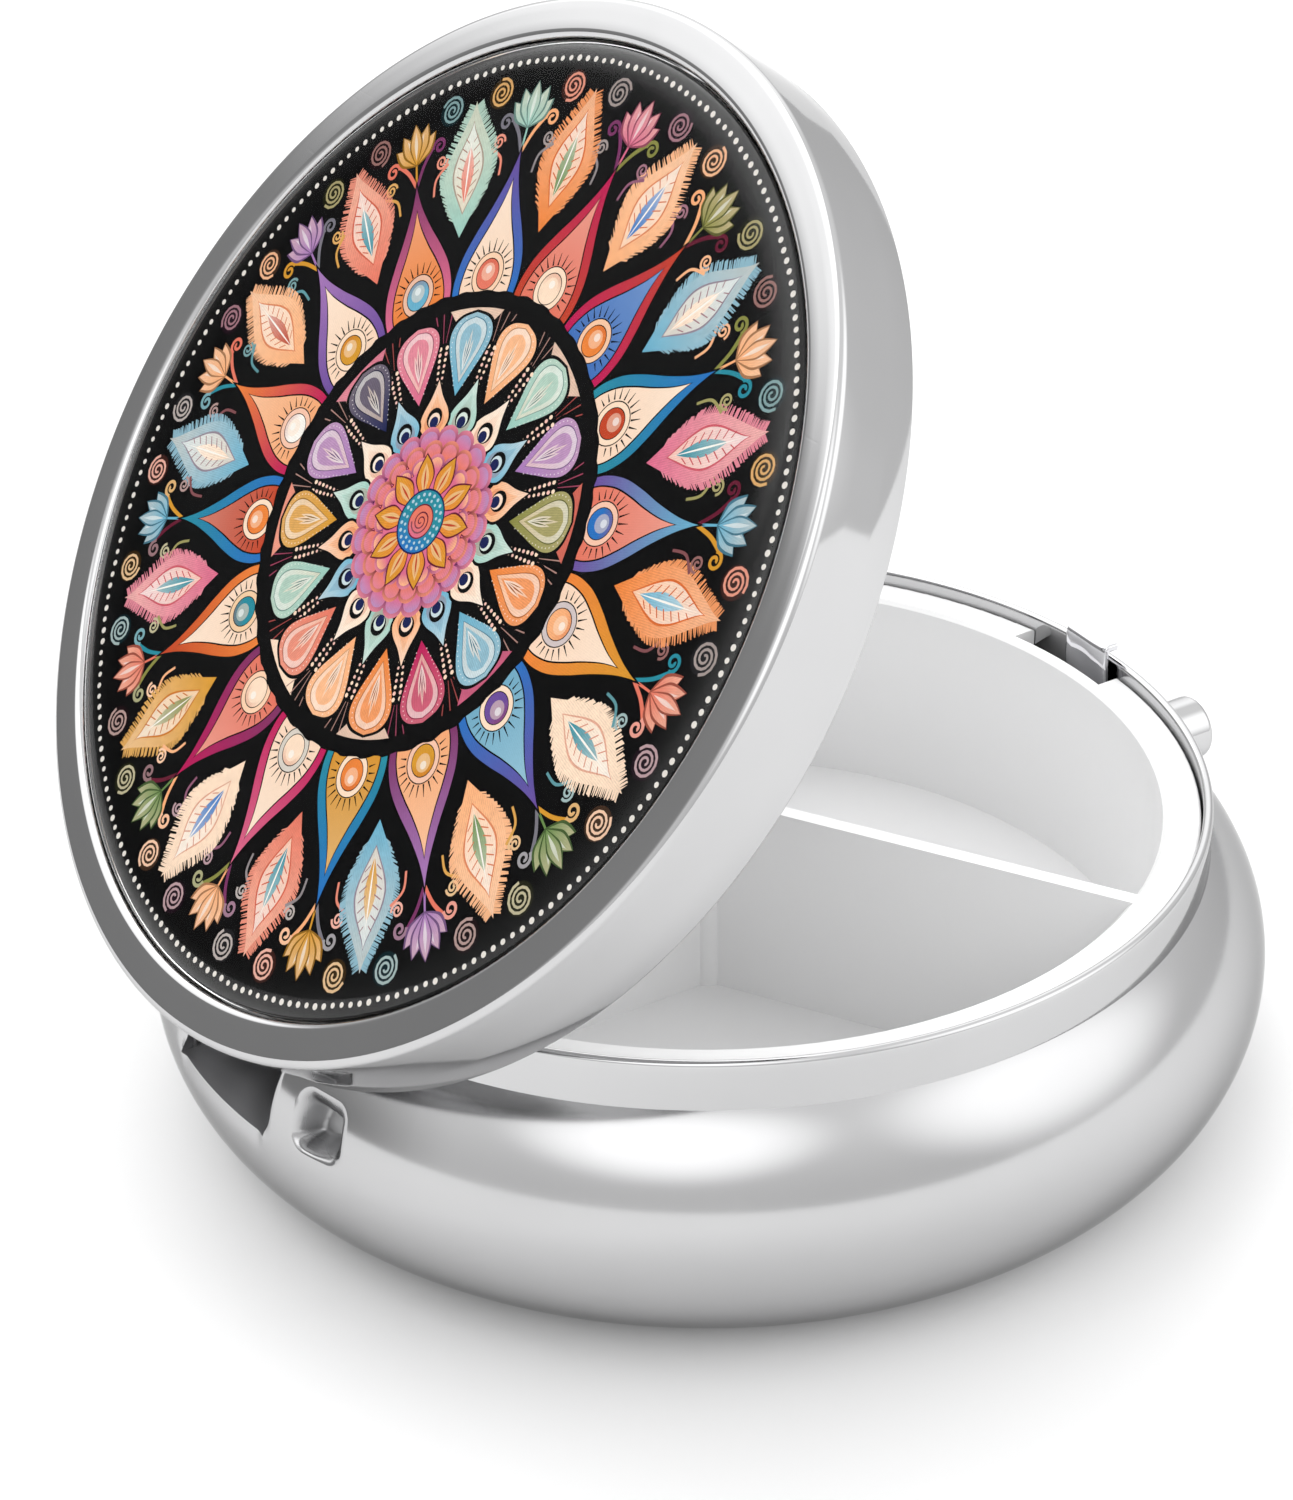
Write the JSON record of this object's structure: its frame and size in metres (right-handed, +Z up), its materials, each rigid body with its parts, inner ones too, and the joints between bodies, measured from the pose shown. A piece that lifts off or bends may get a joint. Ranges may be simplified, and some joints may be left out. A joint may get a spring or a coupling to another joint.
{
  "type": "pill box",
  "caption": "Round polished metal pill box with a bulged base, white three-way tray, push-button latch and a hinged lid that carries a patterned disc under a clear dome.",
  "frame": {"origin": "centre of the flat underside of the base", "axes": "+Z up, +Y towards the hinge, so the push button points to -Y, hinge axis along X; the lid stands open as pictured"},
  "size_m": [0.05, 0.056, 0.0496],
  "materials": {
    "polished_metal": "polished",
    "latch_metal": "polished",
    "inner_metal": "satin",
    "pin_steel": "smooth",
    "spring_steel": "drawn wire",
    "tray_plastic": "gloss",
    "tape": "matt",
    "picture": "printed, gloss",
    "dome": "clear, polished"
  },
  "bodies": {
    "base": {"base_shell": "polished_metal", "neck_ring": "polished_metal", "tray": "tray_plastic", "tray_tape": "tape", "hinge_bracket": "inner_metal", "hinge_pin": "pin_steel", "hinge_spring": "spring_steel", "button_bushing": "inner_metal", "latch_guide": "inner_metal", "button_spring": "spring_steel"},
    "lid": {"lid_shell": "polished_metal", "lid_leaf": "inner_metal", "lid_strike": "inner_metal", "glue_pad": "tape", "art_disc": "picture", "cabochon": "dome"},
    "button": {"push_button": "polished_metal", "latch_strip": "latch_metal"}
  },
  "joints": [
    {"name": "lid_hinge", "type": "hinge", "parent": "base", "child": "lid", "pos_m": [0, 0.02179, 0.00987], "axis": [-1, 0, 0], "range_deg": [-53.5, 15], "stiffness_Nm_per_rad": 0.004, "deforming": ["hinge_spring"]},
    {"name": "button_press", "type": "slide", "parent": "base", "child": "button", "axis": [0, 1, 0], "range_m": [0, 0.0005], "stiffness_N_per_m": 1500, "springref_m": -0.0008, "deforming": ["button_spring"]}
  ]
}
